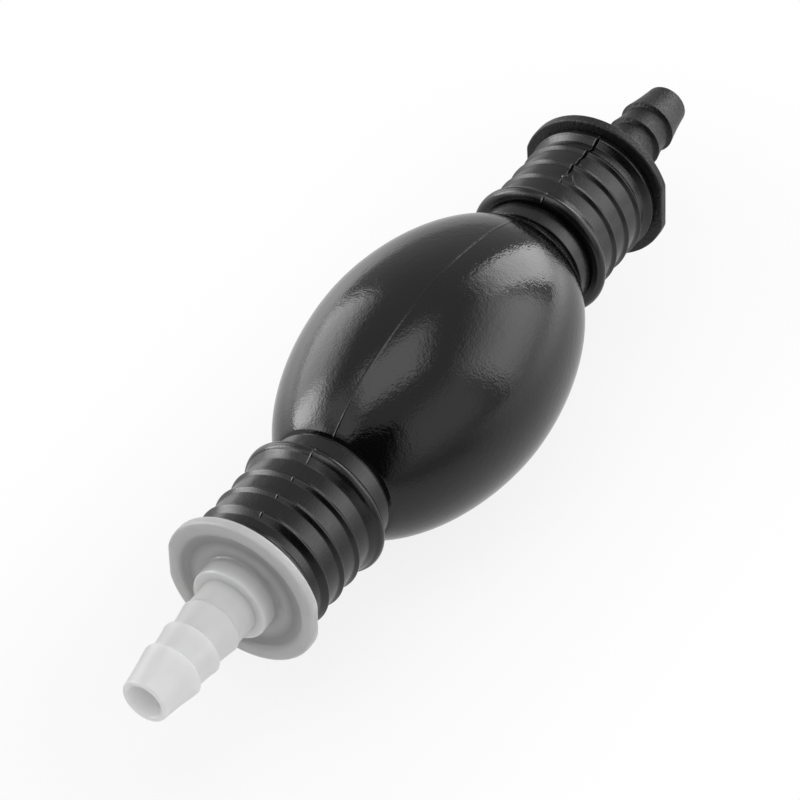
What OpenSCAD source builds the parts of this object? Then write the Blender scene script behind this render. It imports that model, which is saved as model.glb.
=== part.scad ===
// Siphon bulb pump: a rubber squeeze bulb with a barbed hose fitting and a sprung check valve in each neck.
// Origin at the middle of the bulb, X along the pump. Liquid runs from the inlet at -X to the outlet at +X.
// Every round piece is drawn as a half outline of [radius, station] points, where the station is the distance
// from the middle of the bulb, and end() turns that outline towards one end of the pump.

/* [Bulb] */
// Diameter of the bulb at its middle
bulb_d = 45.4; // [43:0.1:48]
// Distance from the middle at which the bulb's curve would close
bulb_reach = 37.3; // [36.8:0.1:38.5]
// Fullness of the bulb's curve along its length, where 2 is an ellipse
bulb_full_long = 1.88; // [1.8:0.02:2]
// Fullness of the bulb's curve across its length, where 2 is an ellipse
bulb_full_wide = 2.08; // [2:0.02:2.2]
// Rubber thickness of the bulb at its middle
bulb_wall = 3; // [2.5:0.1:3.4]

/* [Necks] */
// Outer radius of a neck between its ribs
neck_r = 12.2; // [12:0.05:12.6]
// Height of a rib above the neck
rib_h = 0.42; // [0.2:0.02:0.6]
// Width of a rib at its foot
rib_w = 1.1; // [0.8:0.1:1.6]
// Station of the middle rib of each neck
rib_station = 48.9; // [48.6:0.1:49.2]
// Distance from rib to rib
rib_pitch = 4.65; // [4.4:0.05:4.8]
// Outer radius of the collar where the bulb becomes a neck
collar_r = 12.4; // [12.2:0.05:12.8]
// Radius at the crest of the bead that holds the fitting
bead_r = 13.65; // [13.3:0.05:14]

/* [Fittings] */
// Radius of the inlet fitting's flange
inlet_flange_r = 14.45; // [14.2:0.05:15]
// Radius of the outlet fitting's flange
outlet_flange_r = 14.8; // [14.2:0.05:15]
// Distance across the two flats of the inlet flange
inlet_flats = 28; // [27.6:0.1:28.2]
// Distance across the two flats of the outlet flange
outlet_flats = 27.9; // [27.6:0.1:28.2]
// Turn of the inlet fitting's flats about the pump
inlet_turn = 30; // [0:1:180]
// Turn of the outlet fitting's flats about the pump
outlet_turn = 175; // [0:1:180]
// Thickness of a flange at its rim
flange_t = 1.25; // [1.15:0.05:1.5]
// Depth of the dish in a flange's outer face
dish_depth = 0.55; // [0.3:0.05:0.6]
// Radius of the boss between flange and tail
boss_r = 7; // [6.6:0.1:7.6]
// Radius of the flow bore through a tail
bore_r = 3.1; // [2.8:0.05:3.2]

/* [Hose tails] */
// Radius at the crest of a barb
barb_r = 5.45; // [5.3:0.05:5.7]
// Radius at the waist in front of a barb
waist_r = 4.75; // [4.6:0.05:4.9]
// Radius of the plain root of a tail
root_r = 5.2; // [5:0.05:5.3]
// Radius of the tip of a tail
tip_r = 4.05; // [3.9:0.05:4.2]
// Station of the barb next to the flange
barb_station = 68.8; // [68:0.1:69.5]
// Distance from barb to barb
barb_pitch = 5.4; // [5.2:0.05:5.6]
// Station of the tip, half the length of the pump
tip_station = 87.2; // [86:0.1:89]

/* [Check valves] */
// Radius of a poppet's disc and of its seal
poppet_r = 6.2; // [5.6:0.1:6.4]
// Thickness of a poppet's disc
disc_t = 1.2; // [1:0.1:1.4]
// Thickness of a poppet's seal
seal_t = 1; // [0.8:0.1:1.2]
// Radius of a poppet's stem
stem_r = 1.5; // [1.3:0.05:1.6]
// Gap between a stem and the hole that guides it
stem_gap = 0.05; // [0.03:0.01:0.1]
// Travel of a poppet from shut to fully open
lift = 2.2; // [1.8:0.1:2.4]
// Radius of a spring's wire
wire_r = 0.22; // [0.18:0.01:0.26]
// Radius of a spring to the middle of its wire
coil_r = 2.95; // [2.9:0.05:3.1]
// Number of turns of a spring
coil_turns = 6; // [5:1:6]

/* [Hidden] */
$fn = 96;

inlet = -1;             // the end at -X
outlet = 1;             // the end at +X

// Stations of the neck, from the bulb outwards
bulb_end = 31.9;        // the bulb's curve ends here, under the collar
collar_start = 32.6;
collar_end = 34.9;
groove_start = 35.9;
groove_end = 36.8;
groove_r = 11.4;
bead_station = 38.5;
bead_round = 1.65;
bead_foot = 40.3;
mouth = 58.9;           // the neck's mouth, where the flange sits
dip_start = 54.7;       // shallow hollow between the last rib and the lip
dip_end = 56.3;
dip_r = 11.95;
lip_r = 12.55;
lip_start = 56.8;
lip_end = 58.3;

// Spigot: the part of a fitting that the neck grips
spigot_nose = 37;
spigot_r = 9.6;
spigot_bore = 8;
spigot_floor = 57.4;    // inner face of the end wall
catch_r = 10.45;        // the catch that snaps under the bead
catch_start = 38.8;
catch_end = 39.6;
throat_r = 8.3;         // rubber behind the spigot's nose
chamber_reach = 34.5;
chamber_end = 31.2;

// Flange and boss
flange_face = mouth + flange_t;
dish_floor = flange_face - dish_depth;
dish_out = 12.4;        // outer foot of the dish's slope
dish_in = 10.9;
boss_face = 62.95;
edge = 0.35;            // round on outer edges

// Check valves
seat_land = 0.9;        // height of a seat's land
seat_in = 3.6;
seat_out = 4.6;
sleeve_r = 2.4;         // sleeve that guides the stem and stops the disc
snap_h = 0.3;           // snap ridge on the cage and on the seat ring
spring_len = 8.7;       // length of a spring with its valve shut
stem_len = 11.9;        // from the disc to the end of the stem
knob_r = 2.1;           // head of the knob that holds the seal
knob_neck = 1.6;
knob_h = 0.8;
inlet_seal_face = spigot_floor - seat_land;
inlet_disc_back = inlet_seal_face - seal_t - disc_t;
outlet_seal_face = 41.1;
outlet_disc_back = outlet_seal_face + seal_t + disc_t;
cage_front = inlet_disc_back - spring_len;
guide_front = outlet_disc_back + spring_len;
coil_rings = 8;
coil_sides = 6;

// Radius of the bulb at station u
function bulb_r(u) = bulb_d / 2 * pow(1 - pow(abs(u) / bulb_reach, bulb_full_long), 1 / bulb_full_wide);

// Radius of the chamber at station u: half an ellipse, set in from the bulb by its wall
function chamber_r(u) = (bulb_d / 2 - bulb_wall) * sqrt(1 - pow(u / chamber_reach, 2));

// Points on an arc about [r, u], from angle a0 to a1
function arc(r, u, round, a0, a1, steps) =
    [for (i = [0:steps]) let (a = a0 + (a1 - a0) * i / steps) [r + round * cos(a), u + round * sin(a)]];

// A rib that stands on radius r
function rib(r, u) = [[r, u - rib_w / 2], [r + rib_h, u - rib_w / 8], [r + rib_h, u + rib_w / 8], [r, u + rib_w / 2]];

function flip(points) = [for (i = [len(points) - 1:-1:0]) points[i]];
function other_end(points) = [for (p = points) [p[0], -p[1]]];
function rest(points) = [for (i = [1:len(points) - 1]) points[i]];

// A line from the middle to one mouth, carried on to the other mouth as well
function both_ends(line) = concat(flip(other_end(rest(line))), line);

// Outside of the spigot, from its nose to the flange; the rubber of the neck is moulded to the same line
spigot_line = [[spigot_r - 0.05, spigot_nose], [catch_r, catch_start], [catch_r, catch_end],
               [spigot_r, catch_end + 0.3], [spigot_r, mouth]];

// Outside of the bulb and of one neck, from the middle to the mouth
bulb_steps = 24;
skin_line = concat(
    [for (i = [0:bulb_steps]) let (u = bulb_end * i / bulb_steps) [bulb_r(u), u]],
    [[collar_r - 0.1, collar_start - 0.15], [collar_r, collar_start], [collar_r, collar_end],
     [groove_r + 0.3, groove_start - 0.25], [groove_r, groove_start], [groove_r, groove_end]],
    arc(bead_r - bead_round, bead_station, bead_round, -80, 80, 12),
    [[neck_r, bead_foot]],
    rib(neck_r, rib_station - rib_pitch),
    rib(neck_r, rib_station),
    rib(neck_r, rib_station + rib_pitch),
    [[dip_r, dip_start], [dip_r, dip_end]],
    arc(lip_r - 0.5, lip_start + 0.5, 0.5, -70, 0, 4),
    arc(lip_r - 0.5, lip_end, 0.5, 0, 70, 4),
    [[lip_r - 0.6, mouth]]
);

// Inside of the bulb and of one neck, from the middle to the mouth
chamber_steps = 16;
lining_line = concat(
    [for (i = [0:chamber_steps]) let (u = chamber_end * i / chamber_steps) [chamber_r(u), u]],
    [[throat_r, spigot_nose]],
    spigot_line
);

// Outside of a tail from its root to its tip: barbs with a square shoulder towards the flange
cone_steps = 6;
cone_bow = 0.14;        // how far a barb's cone bulges
function cone(u0, r0, u1, r1) =
    [for (i = [0:cone_steps]) let (k = i / cone_steps) [r0 + (r1 - r0) * k + cone_bow * sin(180 * k), u0 + (u1 - u0) * k]];
tail_line = concat(
    [[root_r, boss_face], [root_r, barb_station - 0.35]],
    cone(barb_station, barb_r, barb_station + barb_pitch - 0.3, waist_r),
    cone(barb_station + barb_pitch, barb_r, barb_station + 2 * barb_pitch - 0.3, waist_r),
    cone(barb_station + 2 * barb_pitch, barb_r, tip_station - 0.2, tip_r),
    [[tip_r - 0.2, tip_station], [bore_r + 0.25, tip_station], [bore_r, tip_station - 0.25]]
);

// A piece drawn along +Z, turned to lie along the pump towards one end
module end(side) {
    rotate([0, side * 90, 0]) children();
}

// The body of a fitting: spigot, dished flange with two flats, boss and barbed tail, with its flow bore
module fitting_body(flange_r, flats) {
    intersection() {
        rotate_extrude() polygon(concat(
            [[spigot_bore + 0.4, spigot_nose]],
            spigot_line,
            [[flange_r - 0.1, mouth]],
            arc(flange_r - edge, flange_face - edge, edge, 0, 90, 4),
            [[dish_out, flange_face], [dish_out - 0.5, flange_face - 0.12 * dish_depth],
             [dish_in + 0.5, dish_floor + 0.12 * dish_depth], [dish_in, dish_floor],
             [boss_r + 0.3, dish_floor], [boss_r, dish_floor + 0.3]],
            arc(boss_r - edge, boss_face - edge, edge, 0, 90, 4),
            tail_line,
            [[bore_r, spigot_floor], [spigot_bore, spigot_floor], [spigot_bore, spigot_nose + 0.4]]
        ));
        translate([-flange_r - 1, -flats / 2, 0]) cube([2 * flange_r + 2, flats, tip_station + 1]);
    }
}

// A ring of square section about the pump's axis
module ring(r_in, r_out, u0, u1) {
    rotate_extrude() polygon([[r_in, u0], [r_out, u0], [r_out, u1], [r_in, u1]]);
}

// Snap ridge, or the groove that it sits in: a band on radius spigot_bore with sloped sides
module snap(u) {
    rotate_extrude() polygon([[spigot_bore - 1, u - 0.7], [spigot_bore, u - 0.7], [spigot_bore + snap_h, u - 0.35],
                              [spigot_bore + snap_h, u + 0.35], [spigot_bore, u + 0.7], [spigot_bore - 1, u + 0.7]]);
}

// Four flat arms from the axis out to radius r
module arms(r, thickness, u0, u1) {
    for (turn = [0, 90])
        rotate(turn) translate([-r, -thickness / 2, u0]) cube([2 * r, thickness, u1 - u0]);
}

// Poppet with its disc's back at 0, its stem along +Z and the knob for its seal along -Z
module poppet() {
    seal_front = -disc_t - seal_t;
    rotate_extrude() polygon([
        [0, seal_front - knob_h], [knob_r - 0.5, seal_front - knob_h], [knob_r, seal_front - 0.3],
        [knob_r, seal_front], [knob_neck, seal_front], [knob_neck, -disc_t],
        [poppet_r, -disc_t], [poppet_r, -0.3], [poppet_r - 0.3, 0], [stem_r, 0],
        [stem_r, stem_len - 0.5], [stem_r - 0.5, stem_len], [0, stem_len]]);
}

// Washer that sits on the poppet's knob, against its disc
module poppet_seal() {
    ring(knob_neck, poppet_r, -disc_t - seal_t, -disc_t);
}

// Point and frame of a spring's wire after t turns
function coil_at(t) = [coil_r * cos(360 * t), coil_r * sin(360 * t),
                       wire_r + (spring_len - 2 * wire_r) * t / coil_turns];
function coil_out(t) = [cos(360 * t), sin(360 * t), 0];

// Closing spring from 0 to spring_len: one tube of six sides wound round the axis
module spring() {
    rings = coil_turns * coil_rings;
    points = [for (i = [0:rings], j = [0:coil_sides - 1])
        let (t = i / coil_rings, a = 360 * j / coil_sides)
        coil_at(t) + wire_r * (cos(a) * coil_out(t) + [0, 0, sin(a)])];
    sides = [for (i = [0:rings - 1], j = [0:coil_sides - 1])
        let (a = i * coil_sides + j, b = i * coil_sides + (j + 1) % coil_sides)
        each [[a, b, b + coil_sides], [a, b + coil_sides, a + coil_sides]]];
    last = rings * coil_sides;
    caps = [[for (j = [coil_sides - 1:-1:0]) j], [for (j = [0:coil_sides - 1]) last + j]];
    polyhedron(points, concat(sides, caps));
}

// Least gap of a spring to itself, measured on its points one turn apart
echo(spring_gap = min([for (i = [0:coil_rings - 1]) norm(coil_at(1 + i / coil_rings) - coil_at(i / coil_rings))])
                  - 2 * wire_r);

module bulb() {
    color([0.05, 0.05, 0.05]) rotate([0, 90, 0]) rotate_extrude()
        polygon(concat(both_ends(skin_line), flip(both_ends(lining_line))));
}

// The inlet fitting carries its valve's seat on the inside of its end wall
module inlet_fitting() {
    color([0.84, 0.85, 0.85]) rotate([inlet_turn, 0, 0]) end(inlet) difference() {
        union() {
            fitting_body(inlet_flange_r, inlet_flats);
            ring(seat_in, seat_out, inlet_seal_face, spigot_floor + 0.5);
        }
        snap(cage_front - 1.6);
    }
}

// The cage snaps into the inlet spigot: a rim, four arms, and the sleeve that guides and stops the poppet
module inlet_valve_cage() {
    color([0.9, 0.9, 0.88]) end(inlet) difference() {
        union() {
            ring(6.6, spigot_bore, cage_front - 3.4, cage_front);
            intersection() {
                snap(cage_front - 1.6);
                ring(6.6, spigot_bore + 1, cage_front - 3.4, cage_front);
            }
            intersection() {
                arms(7.3, 1.4, cage_front - 2.6, cage_front);
                cylinder(r = 7.3, h = tip_station);
            }
            translate([0, 0, cage_front - 3]) cylinder(r = sleeve_r, h = inlet_disc_back - lift - cage_front + 3);
        }
        cylinder(r = stem_r + stem_gap, h = tip_station);
    }
}

module inlet_poppet() {
    color([0.75, 0.75, 0.72]) end(inlet) translate([0, 0, inlet_disc_back]) rotate([180, 0, 0]) poppet();
}

module inlet_poppet_seal() {
    color([0.15, 0.13, 0.12]) end(inlet) translate([0, 0, inlet_disc_back]) rotate([180, 0, 0]) poppet_seal();
}

module inlet_spring() {
    color([0.7, 0.72, 0.75]) end(inlet) translate([0, 0, cage_front]) spring();
}

// The outlet fitting has the stem's guide on four arms inside its spigot
module outlet_fitting() {
    color([0.12, 0.12, 0.13]) rotate([outlet_turn, 0, 0]) end(outlet) difference() {
        union() {
            fitting_body(outlet_flange_r, outlet_flats);
            intersection() {
                arms(spigot_bore + 0.5, 1.2, guide_front, spigot_floor + 0.5);
                difference() {
                    cylinder(r = spigot_bore + 0.5, h = tip_station);
                    translate([0, 0, spigot_floor - 1.9]) cylinder(r = seat_in, h = tip_station);
                }
            }
            translate([0, 0, outlet_disc_back + lift])
                cylinder(r = sleeve_r, h = spigot_floor - 1.9 - outlet_disc_back - lift);
        }
        translate([0, 0, outlet_disc_back]) cylinder(r = stem_r + stem_gap, h = spigot_floor - outlet_disc_back);
        snap(outlet_seal_face - 1.8);
    }
}

// The seat ring snaps into the outlet spigot behind the poppet
module outlet_valve_seat() {
    color([0.2, 0.2, 0.22]) end(outlet) union() {
        ring(seat_in, spigot_bore, outlet_seal_face - 2.7, outlet_seal_face - seat_land);
        intersection() {
            snap(outlet_seal_face - 1.8);
            ring(seat_in, spigot_bore + 1, outlet_seal_face - 2.7, outlet_seal_face - seat_land);
        }
        ring(seat_in, seat_out, outlet_seal_face - 1, outlet_seal_face);
    }
}

module outlet_poppet() {
    color([0.75, 0.75, 0.72]) end(outlet) translate([0, 0, outlet_disc_back]) poppet();
}

module outlet_poppet_seal() {
    color([0.15, 0.13, 0.12]) end(outlet) translate([0, 0, outlet_disc_back]) poppet_seal();
}

module outlet_spring() {
    color([0.7, 0.72, 0.75]) end(outlet) translate([0, 0, outlet_disc_back]) spring();
}

bulb();
inlet_fitting();
inlet_valve_cage();
inlet_poppet();
inlet_poppet_seal();
inlet_spring();
outlet_fitting();
outlet_valve_seat();
outlet_poppet();
outlet_poppet_seal();
outlet_spring();
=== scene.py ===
"""Siphon bulb pump: a black rubber squeeze bulb with a barbed hose fitting and a sprung check valve in each neck.

The pump lies along X with its middle at the origin, and liquid runs from the inlet at -X to the outlet at +X. A round
piece is an outline of (radius, station) points turned about X, where the station is the distance from the middle.
Outlines are in millimetres, and a finished mesh is in metres.
"""

from functools import reduce

import bpy
import numpy as np
from bpy.props import FloatProperty, FloatVectorProperty, PointerProperty
from mathutils import Matrix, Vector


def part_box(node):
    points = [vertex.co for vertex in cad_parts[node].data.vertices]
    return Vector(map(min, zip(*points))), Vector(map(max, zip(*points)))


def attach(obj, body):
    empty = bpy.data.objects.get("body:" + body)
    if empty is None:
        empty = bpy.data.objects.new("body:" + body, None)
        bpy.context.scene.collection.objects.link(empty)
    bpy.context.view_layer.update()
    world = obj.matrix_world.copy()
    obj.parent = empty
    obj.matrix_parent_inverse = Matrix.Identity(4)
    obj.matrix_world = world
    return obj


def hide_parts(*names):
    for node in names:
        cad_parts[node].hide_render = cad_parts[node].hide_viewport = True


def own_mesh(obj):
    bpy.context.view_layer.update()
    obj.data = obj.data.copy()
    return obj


bl_info = {
    "name": "Siphon bulb pump",
    "version": (1, 0, 0),
    "blender": (4, 5, 0),
    "location": "View3D > Sidebar > Siphon pump",
    "description": "Builds a squeeze bulb pump with its hose fittings, valves and a small studio",
    "category": "Add Mesh",
}

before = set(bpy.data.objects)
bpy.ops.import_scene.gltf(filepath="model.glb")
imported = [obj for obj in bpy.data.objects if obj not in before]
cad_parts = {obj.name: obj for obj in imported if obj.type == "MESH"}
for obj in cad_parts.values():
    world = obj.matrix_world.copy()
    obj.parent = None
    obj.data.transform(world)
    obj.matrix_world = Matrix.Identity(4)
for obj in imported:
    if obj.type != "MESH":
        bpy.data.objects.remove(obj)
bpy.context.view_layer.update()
bulb_low, bulb_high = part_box("bulb")
inlet_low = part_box("inlet_fitting")[0]

MM = 0.001
INLET, OUTLET = -1, 1
FULL_TURN = 2 * np.pi

# Stations and radii that no property holds, in millimetres
BULB_END = 31.75
RECESS_RADIUS = 10.9
COLLAR = (32.9, 35.9)
GROOVE = (36.2, 36.6)
GROOVE_RADIUS = 10.9
BEAD_STATION = 37.9
BEAD_ROUND = 1.25
BEAD_FOOT = 40.3
MOUTH = 58.3
DIP = (54.4, 56.0)
DIP_RADIUS = 11.8
LIP = (56.85, 57.9)
LIP_RADIUS = 12.9
LIP_ROUND = 0.4
NOSE = 37.0
SPIGOT_RADIUS = 9.6
SPIGOT_BORE = 8.0
SPIGOT_FLOOR = 57.4
CATCH = (38.8, 39.6)
CATCH_RADIUS = 10.45
THROAT_RADIUS = 8.3
CHAMBER_REACH = 34.5
CHAMBER_END = 31.2
DISH_OUT = 12.35
DISH_IN = 10.85
BOSS_FACE = 63.45
BORE_RADIUS = 3.1
CONE_BOW = 0.1
SHOULDER = 0.45
SEAT = (3.6, 4.6)
SEAT_LAND = 0.9
SNAP_HEIGHT = 0.3
INLET_SNAP = 44.0
OUTLET_SNAP = 39.3
SLEEVE_RADIUS = 2.4
SLEEVE_BORE = 1.55
SLEEVE = (45.5, 55.5)
ARM_START = 52.0
ARM_THICKNESS = 1.2
SPRING_LENGTH = 8.7
INLET_SPRING_START = 45.6
OUTLET_SPRING_START = 43.3
SPIGOT_LINE = [[SPIGOT_RADIUS - 0.05, NOSE], [CATCH_RADIUS, CATCH[0]], [CATCH_RADIUS, CATCH[1]],
               [SPIGOT_RADIUS, CATCH[1] + 0.3], [SPIGOT_RADIUS, MOUTH]]

# How the bulb's parting line turns about the axis, in radians for each millimetre along it, up to SEAM_SLANT_REACH
SEAM_SLANT = np.radians(0.035)
SEAM_SLANT_REACH = 30

# Softness of a piece's corners, in millimetres
CRISP = 0.03
MOULDED = 0.13


# ---- sizes and colours


def length(label, text, value):
    """A size in metres that a user may change."""
    return FloatProperty(name=label, description=text, default=value, min=0.0, precision=5, unit="LENGTH")


def turn(label, text, degrees):
    """An angle about the pump's axis, from +Y towards +Z."""
    return FloatProperty(name=label, description=text, default=np.radians(degrees), subtype="ANGLE")


def colour(label, text, value):
    return FloatVectorProperty(name=label, description=text, default=value, min=0.0, max=1.0, size=3, subtype="COLOR")


def share(label, text, value, top=1.0):
    return FloatProperty(name=label, description=text, default=value, min=0.0, max=top)


class BulbSizes(bpy.types.PropertyGroup):
    """Sizes of the bulb and its two necks."""

    radius: length("Bulb radius", "Radius of the bulb at its middle", bulb_high.z - 0.00006)
    reach: length("Bulb reach", "Distance from the middle to where the bulb's curve would close", 0.0371)
    full_long: share("Fullness along", "Fullness of its curve lengthwise, 2 for an ellipse", 1.88, 3)
    full_wide: share("Fullness across", "Fullness of its curve crosswise, 2 for an ellipse", 2.08, 3)
    wall: length("Wall", "Thickness at the bulb's middle", 0.003)
    neck: length("Neck radius", "Radius of a neck between its ribs", 0.01215)
    rib_height: length("Rib height", "Height of a rib above the neck", 0.00052)
    rib_width: length("Rib width", "Width of a rib at its foot", 0.00145)
    rib_station: length("Middle rib", "Station of the middle rib of each neck", 0.0486)
    rib_pitch: length("Rib pitch", "Distance from rib to rib", 0.00462)
    collar: length("Collar radius", "Radius of the collar between bulb and neck", 0.01145)
    bead: length("Bead radius", "Radius at the crest of a neck's bead", 0.01357)
    seam_turn: turn("Seam turn", "Where the upper parting line lies", 92.2)
    seam_height: length("Seam height", "Height of the parting line", 0.00006)


class FittingSizes(bpy.types.PropertyGroup):
    """Sizes of the two hose fittings."""

    inlet_flange: length("Inlet flange radius", "Radius of the inlet's flange", 0.01432)
    outlet_flange: length("Outlet flange radius", "Radius of the outlet's flange", 0.01482)
    inlet_flats: length("Inlet flats", "Distance across the inlet flange's flats", 0.02784)
    outlet_flats: length("Outlet flats", "Distance across the outlet flange's flats", 0.02824)
    inlet_turn: turn("Inlet turn", "Turn of the inlet flange's flats", 180)
    outlet_turn: turn("Outlet turn", "Turn of the outlet flange's flats", 176)
    flange: length("Flange thickness", "Thickness of a flange at its rim", 0.00194)
    dish: length("Dish depth", "Depth of the dish in a flange", 0.00055)
    boss: length("Boss radius", "Radius of the boss under the tail", 0.00696)
    barb: length("Barb radius", "Radius at the crest of a barb", 0.00547)
    waist: length("Waist radius", "Radius in front of a barb", 0.00477)
    root: length("Root radius", "Radius of the plain root of a tail", 0.00517)
    tip: length("Tip radius", "Radius of the tip of a tail", 0.00413)
    barb_station: length("First barb", "Station of the barb next to the flange", 0.0686)
    barb_pitch: length("Barb pitch", "Distance from barb to barb", 0.00537)
    tip_station: length("Tip station", "Distance of a tip from the middle", -inlet_low.x)


class ValveSizes(bpy.types.PropertyGroup):
    """Sizes of the two closing springs."""

    coil: length("Coil radius", "Radius of a spring to the middle of its wire", 0.00295)
    wire: length("Wire radius", "Radius of a spring's wire", 0.00022)
    turns: share("Turns", "Number of turns of a spring", 6, 12)


class Finishes(bpy.types.PropertyGroup):
    """Colours of the materials and light of the studio."""

    rubber: colour("Bulb rubber", "Colour of the bulb's rubber", (0.0028, 0.0028, 0.003))
    natural: colour("Natural plastic", "Colour of the inlet's milky plastic", (0.93, 0.94, 0.93))
    black: colour("Black plastic", "Colour of the outlet's plastic", (0.007, 0.007, 0.0072))
    valve: colour("Valve plastic", "Colour of the poppets and the cage", (0.72, 0.72, 0.68))
    seal: colour("Seal rubber", "Colour of the poppets' seals", (0.04, 0.035, 0.03))
    steel: colour("Spring steel", "Colour of the springs' wire", (0.62, 0.63, 0.65))
    floor: colour("Floor", "Colour of the studio floor", (0.9, 0.9, 0.9))
    ambient: share("Ambient light", "Strength of the even light from all round", 0.56, 4)
    tent: share("Tent", "Strength of the grey tent that shows in gloss", 0.48, 4)


# ---- outlines


def mm(value):
    """A size in metres, in millimetres."""
    return value / MM


def bell(offset, width):
    """Bell curve: 1 where offset is 0, falling to 1/e at a distance of width."""
    return np.exp(-np.square(offset / width))


def arc(radius, station, size, start, end, steps):
    """Points of an arc of radius size about (radius, station); angles in degrees, 0 pointing away from the axis."""
    angle = np.radians(np.linspace(start, end, steps + 1))
    return np.column_stack([radius + size * np.cos(angle), station + size * np.sin(angle)])


def soften(corners, spread, step=0.02):
    """Rounds the corners of a closed outline: the outline is walked in equal steps, and each point becomes the mean
    of the points around it, weighted by a bell curve whose standard deviation is spread."""
    closed = np.vstack([corners, corners[:1]])
    walked = np.concatenate([[0], np.cumsum(np.hypot(*np.diff(closed, axis=0).T))])
    count = int(walked[-1] / step)
    walk = np.linspace(0, walked[-1], count, endpoint=False)
    points = np.column_stack([np.interp(walk, walked, closed[:, k]) for k in (0, 1)])
    wave = np.fft.rfftfreq(count, d=walked[-1] / count)
    weight = np.exp(-2 * np.square(np.pi * wave * spread))
    return np.fft.irfft(np.fft.rfft(points, axis=0) * weight[:, None], n=count, axis=0)


def respace(points, bend, longest):
    """Keeps the points that a closed outline needs: from one kept point to the next the outline bends by at most bend,
    in degrees, and runs on by at most longest, which is one number or one for each point."""
    ahead = np.roll(points, -1, axis=0) - points
    heading = np.arctan2(ahead[:, 1], ahead[:, 0])
    turned = np.abs((np.roll(heading, -1) - heading + np.pi) % FULL_TURN - np.pi)
    need = np.hypot(*ahead.T) / longest + turned / np.radians(bend)
    reached = np.concatenate([[0], np.cumsum(need)])
    count = int(np.ceil(reached[-1]))
    kept = np.linspace(0, reached[-1], count, endpoint=False)
    closed = np.vstack([points, points[:1]])
    return np.column_stack([np.interp(kept, reached, closed[:, k]) for k in (0, 1)])


def turns_about(step, extra=()):
    """Angles once round the axis, every step degrees. Each of extra is (middle, half width, finer step): there the
    angles are that much closer."""
    angles = np.arange(0, 360, step)
    for middle, half, fine in extra:
        away = np.abs((angles - middle + 180) % 360 - 180)
        angles = np.concatenate([angles[away > half], middle + np.arange(-half, half + fine / 2, fine)])
    return np.radians(np.unique(np.round(angles % 360, 4)))


# ---- surfaces


def grid_quads(rows, columns, closed_rows=True):
    """Quads between neighbouring points of a grid that closes round its columns, and round its rows if asked to."""
    i, j = np.meshgrid(np.arange(rows if closed_rows else rows - 1), np.arange(columns), indexing="ij")
    following, beside = (i + 1) % rows, (j + 1) % columns
    corners = [i * columns + j, following * columns + j, following * columns + beside, i * columns + beside]
    return np.stack(corners, axis=-1).reshape(-1, 4)


def capped(rings, sides):
    """Faces of a row of rings, with a flat face on the first and the last."""
    first = np.arange(sides)[None, :]
    return [grid_quads(rings, sides, closed_rows=False), first[:, ::-1], (rings - 1) * sides + first]


def turned_shell(outline, angles, side, relief=None, reach=None):
    """Closed surface of a closed (radius, station) outline carried round the axis.

    Point (i, j) is outline point i, moved along the outline's normal by relief(radius, station, angle j), with its
    radius then changed by reach(radius, angle j). It stands at x = side * station, y = radius * cos(angle) and
    z = radius * sin(angle)."""
    along = np.roll(outline, -1, axis=0) - np.roll(outline, 1, axis=0)
    along /= np.hypot(*along.T)[:, None]
    radius, station = outline[:, :1], outline[:, 1:]
    angle = angles[None, :]
    rise = 0.0 if relief is None else relief(radius, station, angle)
    radii = radius + along[:, 1:] * rise + 0 * angle
    stations = station - along[:, :1] * rise + 0 * angle
    if reach is not None:
        radii = reach(radii, angle)
    points = np.stack([side * stations, radii * np.cos(angle), radii * np.sin(angle)], axis=-1)
    return points.reshape(-1, 3), [grid_quads(*radii.shape)]


def tube_shell(path, size, outward, sides=8):
    """Round tube along a path, closed by a flat cap at each end. Ring i is path point i plus size * (cos(a) * normal +
    sin(a) * binormal), where the binormal is square to the path and to outward, and size may differ along the path."""
    along = np.gradient(path, axis=0)
    along /= np.linalg.norm(along, axis=1)[:, None]
    binormal = np.cross(along, outward)
    binormal /= np.linalg.norm(binormal, axis=1)[:, None]
    normal = np.cross(binormal, along)
    angle = np.linspace(0, FULL_TURN, sides, endpoint=False)[None, :, None]
    size = np.broadcast_to(size, len(path))[:, None, None]
    rings = path[:, None] + size * (np.cos(angle) * normal[:, None] + np.sin(angle) * binormal[:, None])
    return rings.reshape(-1, 3), capped(len(path), sides)


def swept_shell(section, start, end, along, across, up):
    """Bar of one section from distance start to end: point = distance * along + section x * across + section y * up,
    with the section drawn in a little at both ends so that the bar's edges are soft."""
    distance = np.array([start, start + 0.06, end - 0.06, end])[:, None, None]
    middle = section.mean(axis=0)
    drawn_in = np.array([0.94, 1, 1, 0.94])[:, None, None]
    shape = middle + (section - middle)[None] * drawn_in
    points = distance * along + shape[..., :1] * across + shape[..., 1:] * up
    return points.reshape(-1, 3), capped(len(points), len(section))


def shell_volume(points, faces):
    """Signed volume inside a closed surface: one sixth of the sum of its triangles' triple products."""
    total = 0.0
    for block in faces:
        for k in range(1, block.shape[1] - 1):
            a, b, c = points[block[:, 0]], points[block[:, k]], points[block[:, k + 1]]
            total += np.einsum("ij,ij->", a, np.cross(b, c)) / 6
    return total


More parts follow.
